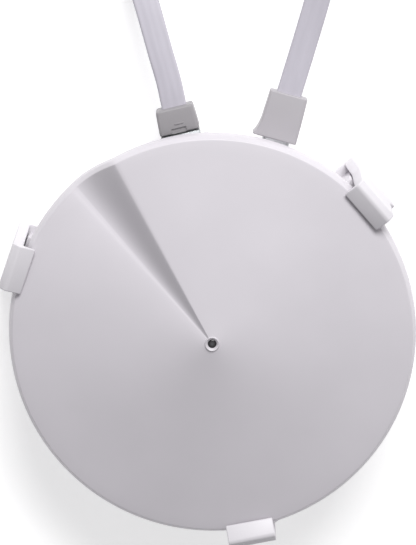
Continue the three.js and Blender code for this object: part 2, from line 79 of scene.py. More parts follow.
CLAW_ANGLES = (41, 161, 281)
CLAW_HALF_WIDTH = 7
CLAW_ROOT_HALF_WIDTH = 9.5
CLAW_INNER = 60.6
CLAW_OUTER = 63.8
HOOK_TIP = 57
HOOK_HEIGHT = 2.9

PORT_RADIUS = 58
NETWORK_PORT = {"rim": 99, "aim": 103.5, "z": 15.2}
POWER_PORT = {"rim": 71.2, "aim": 74.5, "z": 10.9}
FAR_PLUG = {"spot": (8.2, 149, 6), "heading": -90}
ADAPTER = {"spot": (-1.8, 167.2, 0), "length": 28, "width": 26, "height": 26}
PRONG_X = 6.35

CORD_WIDTH = 7.4
CORD_THICKNESS = 1.6
CORD_ON_EDGE_Z = 4.4
TURN_PITCH = 2.75
INNER_BEND = 14.8

# Each route runs from a plug's rear end to the place where the coil begins.
NETWORK_ROUTE = [Vector(point) * MM for point in (
    (-11.22, 66.23, 15.2),
    (-12.75, 73.5, 15.2),
    (-15.2, 82, 14.6),
    (-18.6, 94, 12.6),
    (-22.2, 105.5, 9.6),
    (-25.8, 116, 7.2),
)]
POWER_ROUTE = [Vector(point) * MM for point in (
    (22.75, 69.56, 10.9),
    (26.8, 83, 10.9),
    (30, 94, 11.2),
    (33, 105, 11.9),
    (36.3, 116, 12.8),
)]
# turn is +1 for a coil wound anticlockwise, seen from above, from its outside to its inside.
# The power lead's coil lies on the network lead's, lift above it.
NETWORK_COIL = {
    "centre": (0, 163), "inner": 31, "outer": 45.5, "lift": 0,
    "start": 220, "turns": 4.604, "turn": -1, "tie": 180,
}
POWER_COIL = {
    "centre": (0, 163), "inner": 35.7, "outer": 51.4, "lift": 9.3,
    "start": -30, "turns": 5.003, "turn": 1, "tie": 90,
}

# ---------- camera, light and floor ----------
CAMERA_DISTANCE = 1.0
CAMERA_TILT = 11.1
CAMERA_AIM = Vector((-1.2, 16.9, 18)) * MM


def make_camera():
    data = bpy.data.cameras.new("camera")
    data.lens = 224
    data.sensor_width = 36
    data.clip_start = 0.05
    data.clip_end = 20
    camera = bpy.data.objects.new("camera", data)
    tilt = math.radians(CAMERA_TILT)
    camera.location = CAMERA_AIM + CAMERA_DISTANCE * Vector((0, math.sin(tilt), math.cos(tilt)))
    camera.rotation_euler = (-tilt, 0, 0)
    bpy.context.scene.collection.objects.link(camera)
    bpy.context.scene.camera = camera


def area_light(name, place, aim, size, power):
    data = bpy.data.lights.new(name, "AREA")
    data.shape = "RECTANGLE"
    data.size, data.size_y = size
    data.energy = power
    light = bpy.data.objects.new(name, data)
    light.location = place
    light.rotation_euler = (Vector(place) - Vector(aim)).to_track_quat("Z", "Y").to_euler()
    bpy.context.scene.collection.objects.link(light)


def make_light():
    """One wide soft key from beyond the leads, a weak fill from the right, and an even white surround."""
    area_light("key", (0.18, 0.83, 0.76), (0, 0.02, 0.02), (0.7, 0.45), 13.6)
    area_light("side_fill", (1.1, 0.1, 0.9), (0, 0, 0.02), (0.6, 0.6), 0.6)
    world = bpy.data.worlds.new("studio")
    world.use_nodes = True
    background = world.node_tree.nodes["Background"]
    background.inputs["Color"].default_value = (0.98, 0.975, 1, 1)
    background.inputs["Strength"].default_value = 0.34
    bpy.context.scene.world = world
    bpy.context.scene.view_settings.view_transform = "Standard"


# ---------- node materials ----------
class Recipe:
    """One node material, built up step by step. Textures follow the object's own metres."""

    def __init__(self, name, **sockets):
        self.material = bpy.data.materials.new(name)
        self.material.use_nodes = True
        self.tree = self.material.node_tree
        self.shader = self.tree.nodes["Principled BSDF"]
        self.place = self.node("ShaderNodeTexCoord").outputs
        for socket, value in sockets.items():
            self.shader.inputs[socket.replace("_", " ")].default_value = value

    def node(self, kind, **settings):
        made = self.tree.nodes.new(kind)
        for name, value in settings.items():
            setattr(made, name, value)
        return made

    def link(self, source, target):
        self.tree.links.new(source, target)

    def coordinates(self, stretch, space="Object", turn=0.0):
        mapping = self.node("ShaderNodeMapping")
        mapping.inputs["Scale"].default_value = stretch
        mapping.inputs["Rotation"].default_value = (0, 0, turn)
        self.link(self.place[space], mapping.inputs["Vector"])
        return mapping.outputs["Vector"]

    def noise(self, scale, detail=2.0, stretch=(1, 1, 1), space="Object"):
        made = self.node("ShaderNodeTexNoise")
        made.inputs["Scale"].default_value = scale
        made.inputs["Detail"].default_value = detail
        self.link(self.coordinates(stretch, space), made.inputs["Vector"])
        return made.outputs["Fac"]

    def waves(self, scale, direction="X", space="UV", distortion=0.0, turn=0.0):
        made = self.node("ShaderNodeTexWave", bands_direction=direction)
        made.inputs["Scale"].default_value = scale
        made.inputs["Distortion"].default_value = distortion
        self.link(self.coordinates((1, 1, 1), space, turn), made.inputs["Vector"])
        return made.outputs["Fac"]

    def cells(self, scale, space="Object"):
        made = self.node("ShaderNodeTexVoronoi")
        made.inputs["Scale"].default_value = scale
        self.link(self.coordinates((1, 1, 1), space), made.inputs["Vector"])
        return made.outputs["Distance"]

    def ranged(self, value, low, high, start=0.3, end=0.7):
        made = self.node("ShaderNodeMapRange")
        for socket, number in (("From Min", start), ("From Max", end), ("To Min", low), ("To Max", high)):
            made.inputs[socket].default_value = number
        self.link(value, made.inputs["Value"])
        return made.outputs["Result"]

    def product(self, first, second, operation="MULTIPLY"):
        made = self.node("ShaderNodeMath", operation=operation)
        self.link(first, made.inputs[0])
        self.link(second, made.inputs[1])
        return made.outputs[0]

    def colour(self, factor, first, second):
        made = self.node("ShaderNodeMix", data_type="RGBA")
        made.inputs["A"].default_value = (*first, 1)
        made.inputs["B"].default_value = (*second, 1)
        self.link(factor, made.inputs["Factor"])
        self.link(made.outputs["Result"], self.shader.inputs["Base Color"])
        return made

    def roughness(self, factor, low, high):
        self.link(self.ranged(factor, low, high), self.shader.inputs["Roughness"])

    def bump(self, *layers):
        """Each layer is (height, depth in millimetres). Later layers lie on earlier ones."""
        normal = None
        for height, depth in layers:
            made = self.node("ShaderNodeBump")
            made.inputs["Distance"].default_value = depth * MM
            self.link(height, made.inputs["Height"])
            if normal is not None:
                self.link(normal, made.inputs["Normal"])
            normal = made.outputs["Normal"]
        self.link(normal, self.shader.inputs["Normal"])


def tinted(colour, share):
    return tuple(channel * share for channel in colour)


def moulded_plastic(name, colour, roughness, grain, **sockets):
    """Moulded plastic: faint mottling, fine spark-eroded grain, and roughness that drifts."""
    recipe = Recipe(name, **sockets)
    drift = recipe.noise(38, 3)
    recipe.colour(recipe.ranged(drift, 0, 1), tinted(colour, 0.975), tinted(colour, 1.02))
    recipe.roughness(recipe.noise(90, 4), roughness - 0.04, roughness + 0.05)
    recipe.bump((recipe.noise(5200, 2), grain), (recipe.noise(140, 2), grain * 1.2))
    return recipe.material


def cover_plastic():
    return moulded_plastic(
        "cover_plastic", (0.60, 0.575, 0.61), 0.44, 0.006, Coat_Weight=0.08, Coat_Roughness=0.25,
    )


def bracket_plastic():
    return moulded_plastic("bracket_plastic", (0.64, 0.62, 0.65), 0.46, 0.008)


def boot_plastic():
    return moulded_plastic("boot_plastic", (0.29, 0.278, 0.29), 0.52, 0.012, Sheen_Weight=0.05)


def grip_plastic():
    return moulded_plastic("grip_plastic", (0.40, 0.383, 0.404), 0.50, 0.01, Sheen_Weight=0.05)


def cord_sheath():
    """Flat sheath with faint lengthwise ribs where the wires lie, and light scuffs along it."""
    recipe = Recipe("cord_sheath")
    colour = (0.50, 0.48, 0.535)
    scuffs = recipe.noise(60, 5, (1, 7, 1), "UV")
    recipe.colour(recipe.ranged(scuffs, 0, 1), tinted(colour, 0.96), tinted(colour, 1.03))
    recipe.roughness(recipe.noise(300, 3), 0.40, 0.50)
    ribs = recipe.waves(150, "Y", "UV")
    recipe.bump((ribs, 0.035), (recipe.noise(2600, 2), 0.006))
    return recipe.material


def strap_fabric():
    """A hook and loop strap: two crossing rib patterns and a fuzz of short fibres."""
    recipe = Recipe("strap_fabric", Sheen_Weight=0.35)
    warp = recipe.waves(190, "X", "UV", 0.6)
    weft = recipe.waves(260, "Y", "UV", 0.6)
    weave = recipe.product(warp, weft)
    recipe.colour(weave, (0.12, 0.12, 0.13), (0.23, 0.23, 0.245))
    recipe.roughness(recipe.noise(700, 2), 0.78, 0.95)
    recipe.bump((weave, 0.22), (recipe.noise(3500, 3), 0.12))
    return recipe.material


def rubber():
    recipe = Recipe("foot_rubber")
    recipe.colour(recipe.noise(120, 4), (0.11, 0.11, 0.112), (0.17, 0.17, 0.174))
    recipe.roughness(recipe.noise(420, 3), 0.72, 0.9)
    recipe.bump((recipe.noise(2400, 3), 0.03))
    return recipe.material


def circuit_board():
    """Solder mask over copper: square cells of traces, via rings and the mask's slight waviness."""
    recipe = Recipe("circuit_board", Coat_Weight=0.3, Coat_Roughness=0.12)
    lines = recipe.node("ShaderNodeTexBrick")
    lines.inputs["Scale"].default_value = 320
    lines.inputs["Mortar Size"].default_value = 0.07
    lines.inputs["Color1"].default_value = (1, 1, 1, 1)
    lines.inputs["Color2"].default_value = (0.8, 0.8, 0.8, 1)
    lines.inputs["Mortar"].default_value = (0, 0, 0, 1)
    recipe.link(recipe.coordinates((1, 1, 1)), lines.inputs["Vector"])
    recipe.colour(lines.outputs["Color"], (0.035, 0.19, 0.10), (0.015, 0.10, 0.05))
    recipe.roughness(recipe.noise(200, 2), 0.28, 0.42)
    recipe.bump((lines.outputs["Fac"], 0.02), (recipe.cells(700), 0.01))
    return recipe.material


def chip_epoxy():
    recipe = Recipe("chip_epoxy")
    recipe.colour(recipe.noise(900, 4), (0.008, 0.008, 0.009), (0.02, 0.02, 0.022))
    recipe.roughness(recipe.noise(500, 3), 0.5, 0.7)
    recipe.bump((recipe.noise(6000, 2), 0.01))
    return recipe.material


def brushed_steel():
    recipe = Recipe("brushed_steel", Metallic=1.0, Anisotropic=0.5)
    strokes = recipe.noise(700, 4, (1, 14, 14))
    recipe.colour(strokes, (0.52, 0.53, 0.54), (0.66, 0.67, 0.68))
    recipe.roughness(strokes, 0.24, 0.4)
    recipe.bump((strokes, 0.006))
    return recipe.material


def gold_plate():
    recipe = Recipe("gold_plate", Metallic=1.0)
    wear = recipe.noise(260, 4)
    recipe.colour(recipe.ranged(wear, 0, 1), (0.72, 0.50, 0.16), (0.82, 0.62, 0.28))
    recipe.roughness(wear, 0.18, 0.32)
    recipe.bump((recipe.noise(1800, 2), 0.003))
    return recipe.material


def smoked_lens():
    """A dark light guide with painted light: its base colour is lighter in the middle than at its rim,
    standing in for light that comes up through it.
    """
    recipe = Recipe("smoked_lens", Coat_Weight=0.4, Coat_Roughness=0.05)
    away = recipe.node("ShaderNodeVectorMath", operation="LENGTH")
    recipe.link(recipe.coordinates((1, 1, 0)), away.inputs[0])
    rim = recipe.ranged(away.outputs["Value"], 0, 1, 0.2 * MM, 0.95 * MM)
    # painted light: the colour runs from lighter in the middle to darker at the rim, as if light came
    # through the guide
    recipe.colour(rim, (0.075, 0.075, 0.08), (0.012, 0.011, 0.013))
    recipe.roughness(recipe.noise(900, 2), 0.2, 0.34)
    recipe.bump((recipe.noise(2500, 2), 0.004))
    return recipe.material


def clear_plastic():
    """Clear moulded plug plastic, with flow lines that bend the light a little."""
    recipe = Recipe("clear_plastic", IOR=1.58, Transmission_Weight=0.85)
    flow = recipe.noise(220, 3, (1, 1, 3))
    recipe.colour(flow, (0.80, 0.84, 0.86), (0.90, 0.92, 0.93))
    recipe.roughness(flow, 0.05, 0.16)
    recipe.bump((flow, 0.02))
    return recipe.material


def floor_paper():
    """Seamless white paper with a faint tooth, lit from within a little so that no shadow turns grey."""
    recipe = Recipe("floor_paper", Roughness=0.9, Emission_Color=(1, 1, 1, 1), Emission_Strength=0.5)
    recipe.colour(recipe.noise(400, 3), (0.73, 0.73, 0.73), (0.75, 0.75, 0.75))
    recipe.bump((recipe.noise(2500, 3), 0.01))
    return recipe.material


MATERIAL_MAKERS = {
    "cover": cover_plastic,
    "bracket": bracket_plastic,
    "rubber": rubber,
    "board": circuit_board,
    "chip": chip_epoxy,
    "steel": brushed_steel,
    "gold": gold_plate,
    "guide": smoked_lens,
    "boot": boot_plastic,
    "clear": clear_plastic,
    "cord": cord_sheath,
    "tie": strap_fabric,
}
MATERIALS = {slot: make() for slot, make in MATERIAL_MAKERS.items()}
# The power plug's grip is moulded in a lighter grey than the network plugs' hoods.
OWN_MATERIALS = {"power_plug_grip": grip_plastic()}
SLOT_OF = {part["node"]: part["material_slot"] for part in frame["record"]["subparts"]}
BODY_OF = {node: body for body, nodes in frame["record"]["behaviour"]["bodies"].items() for node in nodes}


# ---------- mesh helpers ----------
def mesh_object(name, points, faces, unit=MM):
    mesh = bpy.data.meshes.new(name)
    mesh.from_pydata([Vector(point) * unit for point in points], [], faces)
    made = bmesh.new()
    made.from_mesh(mesh)
    bmesh.ops.recalc_face_normals(made, faces=made.faces)
    made.to_mesh(mesh)
    made.free()
    obj = bpy.data.objects.new(name, mesh)
    bpy.context.scene.collection.objects.link(obj)
    return obj


def settled(obj):
    """The object with its modifiers worked into its mesh."""
    whole = bpy.data.meshes.new_from_object(obj.evaluated_get(bpy.context.evaluated_depsgraph_get()))
    obj.modifiers.clear()
    obj.data = whole
    return obj


def smoothed(obj, angle=32):
    obj.data.shade_smooth()
    obj.data.set_sharp_from_angle(angle=math.radians(angle))
    return obj


def bevelled(obj, width, segments=3, angle=30):
    """Rounds every edge sharper than the angle."""
    bevel = obj.modifiers.new("edges", "BEVEL")
    bevel.width = width * MM
    bevel.segments = segments
    bevel.limit_method = "ANGLE"
    bevel.angle_limit = math.radians(angle)
    bevel.use_clamp_overlap = True
    bevel.miter_outer = "MITER_ARC"
    return settled(obj)


def combined(obj, others, operation="DIFFERENCE"):
    """Cuts the other objects from this one, or joins or keeps what they share."""
    for other in others:
        change = obj.modifiers.new("change", "BOOLEAN")
        change.operation = operation
        change.solver = "EXACT"
        change.object = other
    settled(obj)
    for other in others:
        bpy.data.objects.remove(other)
    return obj


def joined(name, objects):
    """One object that holds the meshes of several."""
    made = bmesh.new()
    for obj in objects:
        made.from_mesh(obj.data)
        bpy.data.objects.remove(obj)
    mesh = bpy.data.meshes.new(name)
    made.to_mesh(mesh)
    made.free()
    obj = bpy.data.objects.new(name, mesh)
    bpy.context.scene.collection.objects.link(obj)
    return obj


def moved(obj, matrix):
    obj.data.transform(matrix)
    return obj


def dressed(obj, node, replaced=None, angle=32):
    """Gives a piece its node's slot, material and body, and lets it stand for the node."""
    smoothed(obj, angle)
    obj.data.materials.clear()
    obj.data.materials.append(OWN_MATERIALS.get(node, MATERIALS[SLOT_OF[node]]))
    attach(obj, BODY_OF[node])
    if replaced is not None:
        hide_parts(*replaced)
    return obj


def polar(radius, degrees):
    turn = math.radians(degrees)
    return radius * math.cos(turn), radius * math.sin(turn)


def placed(x, y, z=0.0, heading=0.0):
    return Matrix.Translation(Vector((x, y, z)) * MM) @ Matrix.Rotation(math.radians(heading), 4, "Z")


def at_port(obj, port):
    return moved(obj, placed(*polar(PORT_RADIUS, port["rim"]), port["z"], port["aim"] - 90))


def at_far_end(obj):
    roll = Matrix.Rotation(math.radians(90), 4, "Y")
    return moved(obj, placed(*FAR_PLUG["spot"], FAR_PLUG["heading"]) @ roll)


def at_adapter(obj):
    return moved(obj, placed(*ADAPTER["spot"], -90))


def grid_faces(rows, columns, close_rows=False, close_columns=False):
    faces = []
    for i in range(rows if close_rows else rows - 1):
        for k in range(columns if close_columns else columns - 1):
            near = i * columns
            far = (i + 1) % rows * columns
            after = (k + 1) % columns
            faces.append((near + k, far + k, far + after, near + after))
    return faces


def turned(name, profile_at, angles):
    """A body around Z. profile_at gives a closed loop of (radius, height) for each angle."""
    profiles = [profile_at(angle) for angle in angles]
    points = []
    for angle, profile in zip(angles, profiles):
        points += [(*polar(radius, angle), height) for radius, height in profile]
    return mesh_object(name, points, grid_faces(len(angles), len(profiles[0]), True, True))


def lathed(name, profile, x=0.0, y=0.0, sides=48):
    """A body around an upright axis at (x, y). The profile runs from the axis to the axis."""
    middle = profile[1:-1]
    points = []
    for i in range(sides):
        points += [(x + px, y + py, z) for (px, py), z in
                   ((polar(radius, 360 * i / sides), z) for radius, z in middle)]
    faces = grid_faces(sides, len(middle), True, False)
    first = len(points)
    points += [(x, y, profile[0][1]), (x, y, profile[-1][1])]
    for i in range(sides):
        near = i * len(middle)
        far = (i + 1) % sides * len(middle)
        faces.append((first, near, far))
        faces.append((first + 1, far + len(middle) - 1, near + len(middle) - 1))
    return mesh_object(name, points, faces)


def box(name, low, high):
    """A closed box, used as a cutter or as the start of a bevelled piece."""
    points = [(x, y, z) for x in (low[0], high[0]) for y in (low[1], high[1]) for z in (low[2], high[2])]
    faces = [(0, 1, 3, 2), (4, 6, 7, 5), (0, 4, 5, 1), (2, 3, 7, 6), (0, 2, 6, 4), (1, 5, 7, 3)]
    return mesh_object(name, points, faces)


def rounded_corner(before, corner, after, radius, steps=5):
    """Points of an arc that replaces a corner of a flat outline."""
    before, corner, after = Vector(before), Vector(corner), Vector(after)
    into = (before - corner).normalized()
    out = (after - corner).normalized()
    reach = radius / math.tan(into.angle(out) / 2)
    centre = corner + (into + out).normalized() * radius / math.sin(into.angle(out) / 2)
    start = corner + into * reach - centre
    end = corner + out * reach - centre
    sweep = start.angle(end)
    arc = []
    for i in range(steps + 1):
        share = i / steps
        from_start = start * math.sin((1 - share) * sweep)
        from_end = end * math.sin(share * sweep)
        arc.append(centre + (from_start + from_end) / math.sin(sweep))
    return [tuple(point) for point in arc]


def rounded_outline(corners, closed=True):
    """An outline whose corners are (x, y, radius). A radius of 0 leaves the corner sharp."""
    outline = []
    for i, (x, y, radius) in enumerate(corners):
        at_end = not closed and i in (0, len(corners) - 1)
        if radius == 0 or at_end:
            outline.append((x, y))
            continue
        before = corners[i - 1][:2]
        after = corners[(i + 1) % len(corners)][:2]
        outline += rounded_corner(before, (x, y), after, radius)
    return outline


def rounded_rectangle(width, height, corner, x=0.0, z=0.0, steps=6):
    points = []
    for quarter, (sx, sz) in enumerate(((1, 1), (-1, 1), (-1, -1), (1, -1))):
        for i in range(steps + 1):
            px, pz = polar(corner, (quarter + i / steps) * 90)
            points.append((x + sx * (width / 2 - corner) + px, z + sz * (height / 2 - corner) + pz))
    return points


def rounded_end(section, edge, way, steps=4):
    """Sections that round off an end. way is +1 at the end with the larger y, and -1 at the other."""
    y, width, height, corner, x, z = section
    sections = []
    for i in range(steps + 1):
        turn = math.radians(90 * i / steps)
        inset = edge * (1 - math.cos(turn))
        at = y - way * edge * (1 - math.sin(turn))
        sections.append((at, width - 2 * inset, height - 2 * inset, max(corner - inset, 0.05), x, z))
    return sections if way > 0 else sections[::-1]


def loft(name, sections, edge=0.0):
    """A body along Y through rounded rectangles (y, width, height, corner, x, z), with rounded ends."""
    sections = [(*section, *(0.0,) * (6 - len(section))) for section in sections]
    if edge > 0:
        sections = rounded_end(sections[0], edge, -1) + sections[1:-1] + rounded_end(sections[-1], edge, 1)
    points = []
    for y, width, height, corner, x, z in sections:
        points += [(px, y, pz) for px, pz in rounded_rectangle(width, height, corner, x, z)]
    count = len(points) // len(sections)
    faces = grid_faces(len(sections), count, False, True)
    faces.append(tuple(range(count)))
    faces.append(tuple(range(len(points) - count, len(points)))[::-1])
    return mesh_object(name, points, faces)


def prism(name, outline, low, high, axis="Z"):
    """A straight prism of an outline. Along Z the outline is (x, y), and along X it is (y, z)."""
    count = len(outline)
    if axis == "Z":
        points = [(x, y, level) for level in (low, high) for x, y in outline]
    else:
        points = [(level, y, z) for level in (low, high) for y, z in outline]
    faces = grid_faces(2, count, False, True)
    faces.append(tuple(range(count)))
    faces.append(tuple(range(count, 2 * count))[::-1])
    return mesh_object(name, points, faces)


def plate(name, outlines, low, high, edge):
    """A flat plate with rounded edges. The first outline is its rim and the others are its holes."""
    curve = bpy.data.curves.new(name, "CURVE")
    curve.dimensions = "2D"
    curve.fill_mode = "BOTH"
    curve.extrude = ((high - low) / 2 - edge) * MM
    curve.bevel_depth = edge * MM
    curve.bevel_resolution = 2
    curve.offset = -edge * MM
    for outline in outlines:
        spline = curve.splines.new("POLY")
        spline.points.add(len(outline) - 1)
        for point, (x, y) in zip(spline.points, outline):
            point.co = (x * MM, y * MM, 0, 1)
        spline.use_cyclic_u = True
    shaped = bpy.data.objects.new(name, curve)
    bpy.context.scene.collection.objects.link(shaped)
    mesh = bpy.data.meshes.new_from_object(shaped.evaluated_get(bpy.context.evaluated_depsgraph_get()))
    bpy.data.objects.remove(shaped)
    made = bmesh.new()
    made.from_mesh(mesh)
    bmesh.ops.remove_doubles(made, verts=made.verts, dist=0.0005 * MM)
    bmesh.ops.recalc_face_normals(made, faces=made.faces)
    made.to_mesh(mesh)
    made.free()
    obj = bpy.data.objects.new(name, mesh)
    bpy.context.scene.collection.objects.link(obj)
    return moved(obj, placed(0, 0, (low + high) / 2))


# ---------- cords ----------
def smooth_share(value):
    value = min(max(value, 0.0), 1.0)
    return value * value * (3 - 2 * value)


def curve_through(points, spacing):
    """A smooth line through the points, from the second to the last but one, in steps of the spacing."""
    line = []
    for before, start, end, after in zip(points, points[1:], points[2:], points[3:]):
        leave = (end - before) / 2
        arrive = (after - start) / 2
        reach = (end - start).length
        leave = leave.normalized() * reach
        arrive = arrive.normalized() * reach
        steps = max(2, round(reach / spacing))
        for i in range(steps):
            t = i / steps
            line.append(
                start * (2 * t**3 - 3 * t**2 + 1) + leave * (t**3 - 2 * t**2 + t)
                + end * (3 * t**2 - 2 * t**3) + arrive * (t**3 - t**2)
            )
    return line


def coil_point(coil, turned_by):
    """A point of the coil's line, after turning by so many degrees from its outside."""
    radius = coil["outer"] - CORD_THICKNESS / 2 - 0.1 - TURN_PITCH * turned_by / 360
    x, y = polar(radius, coil["start"] + coil["turn"] * turned_by)
    wave = 0.18 * math.sin(math.radians(turned_by * 1.37)) * smooth_share(turned_by / 90)
    return Vector((coil["centre"][0] + x, coil["centre"][1] + y, CORD_ON_EDGE_Z + coil["lift"] + wave)) * MM


def inner_bend(coil, end_z, step=6):
    """The last bend, tangent to the coil's inside, that turns the cord towards its far piece."""
    total = 360 * coil["turns"]
    at = coil["start"] + coil["turn"] * total
    radius = coil["outer"] - CORD_THICKNESS / 2 - 0.1 - TURN_PITCH * coil["turns"]
    cx, cy = polar(radius - INNER_BEND, at)
    finish = 90 if coil["turn"] > 0 else -90
    sweep = (coil["turn"] * (finish - at)) % 360
    start_z = coil_point(coil, total).z / MM
    points = []
    for i in range(1, int(sweep / step) + 1):
        done = i / int(sweep / step)
        x, y = polar(INNER_BEND, at + coil["turn"] * sweep * done)
        z = start_z + (end_z - start_z) * smooth_share(done)
        points.append(Vector((coil["centre"][0] + cx + x, coil["centre"][1] + cy + y, z)) * MM)
    return points


def cord_line(route, exit_way, coil, far_z, tail):
    """The cord's centreline: out of its plug, along its route, round its coil and into its far piece."""
    start = route[0] - exit_way * 1.5 * MM
    lead = [start - exit_way * 4 * MM, start] + route[1:]
    lead += [coil_point(coil, angle) for angle in (0, 12, 24)]
    line = curve_through(lead, 1.6 * MM)
    line = line[: -round((lead[-2] - lead[-3]).length / (1.6 * MM))]
    turning = 360 * coil["turns"]
    count = round(turning / 6)
    flat_points = len(line)
    line += [coil_point(coil, turning * i / count) for i in range(count + 1)]
    line += inner_bend(coil, far_z)
    line.append(line[-1] + tail)
    return line, flat_points


def across_line(line, flat_points):
    """The direction of the cord's width at each point: level on the route, upright from the coil on."""
    lengths = [0.0]
    for here, after in zip(line, line[1:]):
        lengths.append(lengths[-1] + (after - here).length)
    stand = lengths[flat_points]
    begin = stand - 40 * MM
    up = Vector((0, 0, 1))
    widths = []
    for i, length in enumerate(lengths):
        ahead = line[min(i + 1, len(line) - 1)] - line[max(i - 1, 0)]
        ahead.normalize()
        side = ahead.cross(up).normalized()
        top = side.cross(ahead).normalized()
        turn = math.radians(90) * smooth_share((length - begin) / (stand - begin))
        widths.append(side * math.cos(turn) + top * math.sin(turn))
    return widths, lengths


def sweep(name, line, widths, lengths, section, closed=False):
    """A section swept along a line, in metres, with its length and girth as UVs."""
    points = []
    for i, (here, across) in enumerate(zip(line, widths)):
        before = line[i - 1] if closed or i > 0 else here
        after = line[(i + 1) % len(line)] if closed or i < len(line) - 1 else here
        through = (after - before).normalized().cross(across).normalized()
        points += [here + across * a + through * b for a, b in section]
    count = len(section)
    faces = grid_faces(len(line), count, closed, True)
    if not closed:
        faces.append(tuple(range(count)))
        faces.append(tuple(range(len(points) - count, len(points)))[::-1])
    obj = mesh_object(name, points, faces, 1)
    girth = [0.0]
    for first, second in zip(section, section[1:]):
        girth.append(girth[-1] + (Vector(second) - Vector(first)).length)
    uv = obj.data.uv_layers.new(name="UVMap")
    for face in obj.data.polygons:
        rows = {obj.data.loops[k].vertex_index // count for k in face.loop_indices}
        wraps = closed and len(line) - 1 in rows and 0 in rows
        for k in face.loop_indices:
            row, column = divmod(obj.data.loops[k].vertex_index, count)
            along = lengths[row] + (lengths[-1] if wraps and row == 0 else 0)
            uv.data[k].uv = (along, girth[column])
    return obj


def cord_section():
    outline = rounded_rectangle(CORD_WIDTH, CORD_THICKNESS, 0.7, steps=4)
    return [(a * MM, b * MM) for a, b in outline]


def make_cord(name, route, port, coil, far_z, nodes, facts):
    aim = math.radians(port["aim"])
    exit_way = Vector((math.cos(aim), math.sin(aim), 0))
    tail = Vector((-2.2 * MM, 0, 0))
    line, flat_points = cord_line(route, exit_way, coil, far_z, tail)
    widths, lengths = across_line(line, flat_points)
    cord = sweep(name, line, widths, lengths, cord_section())
    dressed(cord, nodes[0], nodes, 50)
    facts.update(name=name, cord=cord, line=line, exit=route[0])
    return facts


def make_cords():
    network = make_cord(
        "network_lead", NETWORK_ROUTE, NETWORK_PORT, NETWORK_COIL, 6, ("network_cord", "network_coil"),
        {"length": 1.2, "far_end": "plug"},
    )
    power = make_cord(
        "power_lead", POWER_ROUTE, POWER_PORT, POWER_COIL, 13.7, ("power_cord", "power_coil"),
        {"length": 1.5, "far_end": "plug"},
    )
    return network, power


def make_tie(name, coil, node):
    """A soft strap closed round the coil, with its free end lapped over the top."""
    half_width = (coil["outer"] - coil["inner"]) / 2 + 0.75
    low, high = 0.3, 8.6
    corners = [
        (-half_width, low, 0.7), (half_width, low, 0.7), (half_width, high, 0.7), (-half_width, high, 0.7),
    ]
    loop = rounded_outline(corners)
    lengths = [0.0]
    for first, second in zip(loop, loop[1:]):
        lengths.append(lengths[-1] + (Vector(second) - Vector(first)).length * MM)
    middle = (coil["outer"] + coil["inner"]) / 2
    line = [Vector((middle + x, 0, z)) * MM for x, z in loop]
    strap = [(a * MM, b * MM) for a, b in rounded_rectangle(10, 0.42, 0.2, steps=3)]
    along_y = [Vector((0, 1, 0))] * len(line)
    band = sweep(name + "_band", line, along_y, lengths, strap, True)
    lap_line = []
    for i in range(13):
        x = middle + half_width * (0.9 - 1.5 * i / 12)
        z = high + 0.44 - 0.12 * math.sin(i / 12 * 3)
        lap_line.append(Vector((x, 0, z)) * MM)
    lap_lengths = [half_width * 1.5 * i / 12 * MM for i in range(13)]
    lap = sweep(name + "_lap", lap_line, along_y[:1] * 13, lap_lengths, strap)
    tie = joined(name, [band, lap])
    moved(tie, placed(*coil["centre"], coil["lift"], coil["tie"]))
    return dressed(tie, node, [node], 50)


# ---------- the router ----------
def rim_height(angle):
    """The crease climbs all the way round and falls back over the step."""
    step_width = STEP_FOOT - STEP_TOP
    climb = 360 - step_width
    past = (angle - STEP_FOOT) % 360
    if past <= climb:
        return RIM_LOW + (RIM_HIGH - RIM_LOW) * (past / climb) ** CLIMB_EASE
    fall = smooth_share(((past - climb) / step_width) ** STEP_LEAN)
    return RIM_HIGH - (RIM_HIGH - RIM_LOW) * fall


def face_height(angle, radius):
    return CENTRE_Z + radius / FACE_RADIUS * (rim_height(angle) - CENTRE_Z)


def wall_radius(angle, z):
    rise = (z - BASE_Z) / (rim_height(angle) - BEVEL_DROP - BASE_Z)
    return BASE_RADIUS + (BODY_RADIUS - BASE_RADIUS) * rise


def body_angles():
    step_width = STEP_FOOT - STEP_TOP
    fine = [STEP_TOP + step_width * i / 48 for i in range(48)]
    coarse = [STEP_FOOT + (360 - step_width) * i / 288 for i in range(288)]
    return fine + coarse


def cover_profile(angle):
    """The top cover's wall as a closed loop: dish, face, creased rim, side, and back along the inside."""
    rim = rim_height(angle)
    hole = LIGHT_HOLE_RADIUS
    dish = [
        (hole, CENTRE_Z - SKIN), (hole, CENTRE_Z - 0.62), (hole + 0.06, CENTRE_Z - 0.5),
        (1.75, CENTRE_Z - 0.1), (1.95, CENTRE_Z - 0.02), (2.2, face_height(angle, 2.2)),
    ]
    rings = [3, 5, 8, 12, 17, 23, 30, 37, 44, 50, 55]
    face = [(radius, face_height(angle, radius)) for radius in rings]
    slope = (rim - CENTRE_Z) / FACE_RADIUS
    side = rounded_outline([
        (55, rim - slope * (FACE_RADIUS - 55), 0),
        (FACE_RADIUS, rim, 0.55),
        (59.7, rim - 2, 1.6),
        (BODY_RADIUS, rim - BEVEL_DROP, 2.2),
        (wall_radius(angle, PARTING_Z), PARTING_Z, 0),
    ], closed=False)[1:-1]
    low = wall_radius(angle, PARTING_Z)
    edge = [(low, PARTING_Z + 0.3), (low - 0.1, PARTING_Z + 0.08), (low - 0.3, PARTING_Z)]
    inside = [
        (low - SKIN, PARTING_Z), (BODY_RADIUS - SKIN, rim - BEVEL_DROP),
        (57.9, rim - 3.2), (FACE_RADIUS - SKIN, rim - SKIN - 0.1),
    ]
    ceiling = [(radius, face_height(angle, radius) - SKIN) for radius in (48, 32, 16, 4)]
    return dish + face + side + edge + inside + ceiling


